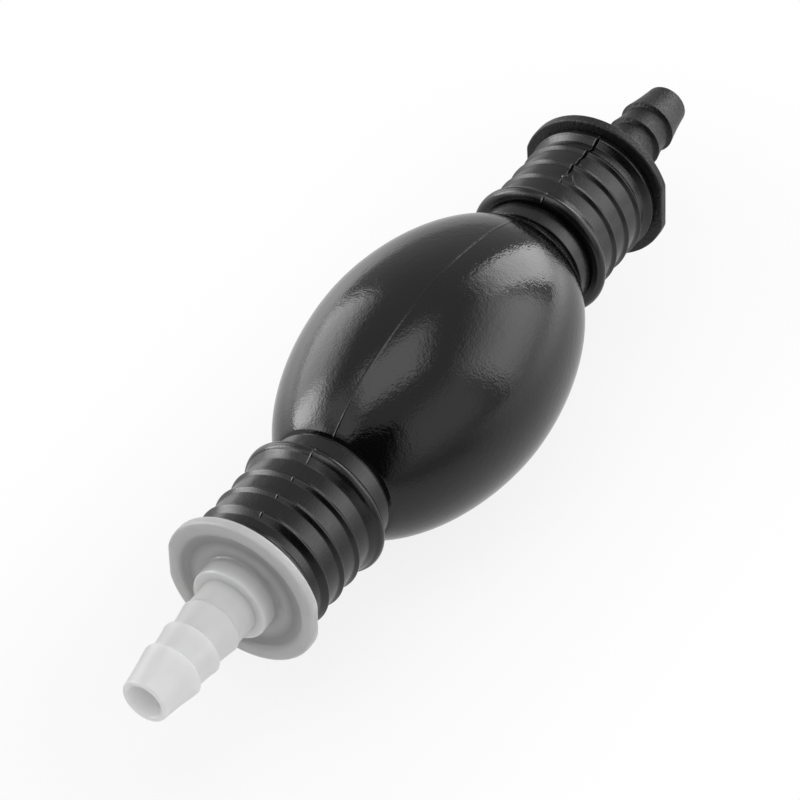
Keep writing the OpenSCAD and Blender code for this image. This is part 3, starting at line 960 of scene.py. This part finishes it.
def panel_object(name, azimuth, elevation, width, height, distance, *light):
    """Flat panel that faces the pump: point (u, v) is distance * direction + half width * u * right + half height *
    v * up, for u and v from -1 to 1, and its UV map holds (u, v) from 0 to 1."""
    out = view_direction(azimuth, elevation)
    right = np.array([np.cos(np.radians(azimuth)), np.sin(np.radians(azimuth)), 0])
    up = np.cross(right, -out)
    half_wide, half_high = distance * np.tan(np.radians([width, height]) / 2)
    u, v, faces = flat_grid(8)
    points = distance * out + half_wide * u[:, None] * right + half_high * v[:, None] * up
    panel = staged(name, points, faces.tolist(), panel_finish(name, *light))
    corners = np.column_stack([u, v])[faces.ravel()] / 2 + 0.5
    panel.data.uv_layers.new(name="UVMap").data.foreach_set("uv", corners.astype(np.float32).ravel())
    panel.visible_camera = False
    return panel


def white_light(tree, strength):
    """Emission of white light."""
    return node(tree, "Emission", {"Color": (1, 1, 1, 1), "Strength": strength}).outputs[0]


def panel_finish(name, brightness, fade_wide, fade_high):
    """Light of even brightness that fades out towards the panel's edges."""
    finish = bpy.data.materials.new(name)
    tree = cleared(finish)
    parts = node(tree, "SeparateXYZ", {"Vector": node(tree, "UVMap").outputs[0]}).outputs
    edges = [ramp(part, *ends) for part, fade in ((parts["X"], fade_wide), (parts["Y"], fade_high))
             for ends in ((0.0, fade), (1.0, 1.0 - fade))]
    clear = node(tree, "BsdfTransparent").outputs[0]
    inputs = {0: reduce(times, edges), 1: clear, 2: white_light(tree, brightness)}
    return surfaced(finish, node(tree, "MixShader", inputs).outputs[0])


def tent_object(look):
    """Grey half ball round the studio that shows in gloss alone: point (a, e) is TENT_RADIUS times the direction of
    azimuth a and elevation e, and its top is closed by a flat ring of triangles."""
    azimuth, elevation = np.meshgrid(np.arange(0, 360, 10), np.arange(-6, 85, 6), indexing="xy")
    points = TENT_RADIUS * view_direction(azimuth.ravel(), elevation.ravel()).T
    rows, columns = azimuth.shape
    ring = (rows - 1) * columns + np.arange(columns)
    cap = np.column_stack([ring, np.roll(ring, -1), np.full(columns, len(points))])
    faces = grid_quads(rows, columns, closed_rows=False).tolist() + cap.tolist()
    finish = bpy.data.materials.new("studio_tent")
    surfaced(finish, white_light(cleared(finish), look.tent))
    tent = staged("studio_tent", np.vstack([points, [0, 0, TENT_RADIUS]]), faces, finish)
    tent.visible_camera = tent.visible_diffuse = tent.visible_transmission = tent.visible_shadow = False


def seen_plainly(tree):
    """1 for rays that show the background: from the camera, off a glossy surface or through a clear one."""
    path = node(tree, "LightPath").outputs
    reflected = calc("MAXIMUM", path["Is Glossy Ray"], path["Is Transmission Ray"])
    return calc("MAXIMUM", path["Is Camera Ray"], reflected)


def floor_finish(look):
    """Pale floor that takes the pump's soft shadow near it and shows as plain white further out. In gloss alone it
    shows a painted shadow near the pump, where it is greyer. Further out it shows a painted glow whose brightness
    stands for the lamps on that side."""
    finish = bpy.data.materials.new("studio_floor")
    tree = cleared(finish)
    parts = node(tree, "SeparateXYZ", {"Vector": node(tree, "TexCoord").outputs["Object"]}).outputs
    past_end = calc("MAXIMUM", calc("SUBTRACT", calc("ABSOLUTE", parts["X"]), 0.07), 0.0)
    out = from_axis(past_end, parts["Y"])
    matt = node(tree, "BsdfDiffuse", {"Color": (*look.floor, 1)}).outputs[0]
    in_gloss = node(tree, "LightPath").outputs["Is Glossy Ray"]
    # painted glow by azimuth and painted shadow near the pump, seen in gloss alone
    azimuth = calc("ARCTAN2", parts["X"], times(parts["Y"], -1.0))
    painted_glow = toned(azimuth, -180, 180, PAINTED_GLOSS_GLOW, np.radians(1))
    added = calc("SUBTRACT", times(painted_glow, PAINTED_GLOSS_GLOW_TOP), PAINTED_GLOSS_SHADOW)
    painted_shadow_and_glow = calc("MULTIPLY_ADD", added, ramp(out, 0.02, 0.19), PAINTED_GLOSS_SHADOW)
    strength = calc("MULTIPLY_ADD", in_gloss, calc("SUBTRACT", painted_shadow_and_glow, 1.0), 1.0)
    lifted = times(seen_plainly(tree), ramp(out, 0.015, 0.07, 0.84, 1.0))
    inputs = {0: lifted, 1: matt, 2: white_light(tree, strength)}
    return surfaced(finish, node(tree, "MixShader", inputs).outputs[0])


class PUMP_OT_studio(bpy.types.Operator):
    """Make the floor, the soft lights, the even surroundings and the camera"""

    bl_idname = "pump.studio"
    bl_label = "Studio"

    def execute(self, context):
        look = context.scene.pump_finishes
        self.make_floor(look)
        for name, *values in PANELS:
            panel = panel_object(name, *values)
            if name.startswith(("card", "lamp_left")):
                panel.visible_diffuse = panel.visible_transmission = panel.visible_shadow = False
        tent_object(look)
        self.make_world(context.scene, look)
        self.make_camera(context.scene)
        return {"FINISHED"}

    def make_floor(self, look):
        """Flat square floor just under the bulb's lowest point."""
        u, v, faces = flat_grid(4)
        points = np.column_stack([FLOOR_HALF * u, FLOOR_HALF * v, np.full(u.size, bulb_low.z - FLOOR_GAP)])
        staged("studio_floor", points, faces.tolist(), floor_finish(look))

    def make_world(self, scene, look):
        """Even light from all round, which shows as white behind the pump and in its gloss."""
        world = bpy.data.worlds.new("studio_surroundings")
        tree = cleared(world)
        strength = ramp(seen_plainly(tree), 0, 1, look.ambient, 1.0)
        light = node(tree, "Background", {"Color": (1, 1, 1, 1), "Strength": strength}).outputs[0]
        node(tree, "OutputWorld", {"Surface": light})
        scene.world = world
        scene.view_settings.view_transform = "Standard"

    def make_camera(self, scene):
        """Camera to the upper left of the inlet end, rolled so that the pump runs up to the right."""
        back = view_direction(*CAMERA_TOWARDS)
        along = np.array([1.0, 0, 0]) - back[0] * back
        along /= np.linalg.norm(along)
        aside = np.cross(back, along)
        slope = np.radians(CAMERA_SLOPE)
        right = np.cos(slope) * along + np.sin(slope) * -aside
        up = np.cross(back, right)
        eye = CAMERA_DISTANCE * back - CAMERA_SHIFT[0] * along + CAMERA_SHIFT[1] * aside
        lens = bpy.data.cameras.new("studio_camera")
        lens.lens = CAMERA_LENS
        lens.sensor_width = 36.0
        lens.clip_start = 0.01
        camera = bpy.data.objects.new("studio_camera", lens)
        turned = Matrix(np.column_stack([right, up, back]).tolist()).to_4x4()
        turned.translation = eye.tolist()
        camera.matrix_world = turned
        scene.collection.objects.link(camera)
        scene.camera = camera


# ---- add-on


class PUMP_PT_sidebar(bpy.types.Panel):
    """Sizes, finishes and pieces of the siphon bulb pump"""

    bl_idname = "PUMP_PT_sidebar"
    bl_label = "Siphon bulb pump"
    bl_space_type = "VIEW_3D"
    bl_region_type = "UI"
    bl_category = "Siphon pump"

    def draw(self, context):
        for group in GROUPS:
            box = self.layout.box()
            box.label(text=group.removeprefix("pump_").title())
            values = getattr(context.scene, group)
            for name in values.__annotations__:
                box.prop(values, name)
        for maker in MAKERS:
            self.layout.operator(maker.bl_idname)


GROUPS = {
    "pump_bulb": BulbSizes,
    "pump_fittings": FittingSizes,
    "pump_valves": ValveSizes,
    "pump_finishes": Finishes,
}
MAKERS = (PUMP_OT_bulb, PUMP_OT_inlet_fitting, PUMP_OT_outlet_fitting, PUMP_OT_springs, PUMP_OT_valves, PUMP_OT_studio)
CLASSES = (*GROUPS.values(), *MAKERS, PUMP_PT_sidebar)


def register():
    for item in CLASSES:
        bpy.utils.register_class(item)
    for name, group in GROUPS.items():
        setattr(bpy.types.Scene, name, PointerProperty(type=group))


def unregister():
    for name in GROUPS:
        delattr(bpy.types.Scene, name)
    for item in reversed(CLASSES):
        bpy.utils.unregister_class(item)


def main():
    """Registers the add-on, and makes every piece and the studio."""
    register()
    bpy.ops.pump.bulb()
    bpy.ops.pump.inlet_fitting()
    bpy.ops.pump.outlet_fitting()
    bpy.ops.pump.springs()
    bpy.ops.pump.valves()
    bpy.ops.pump.studio()


if __name__ == "__main__":
    main()
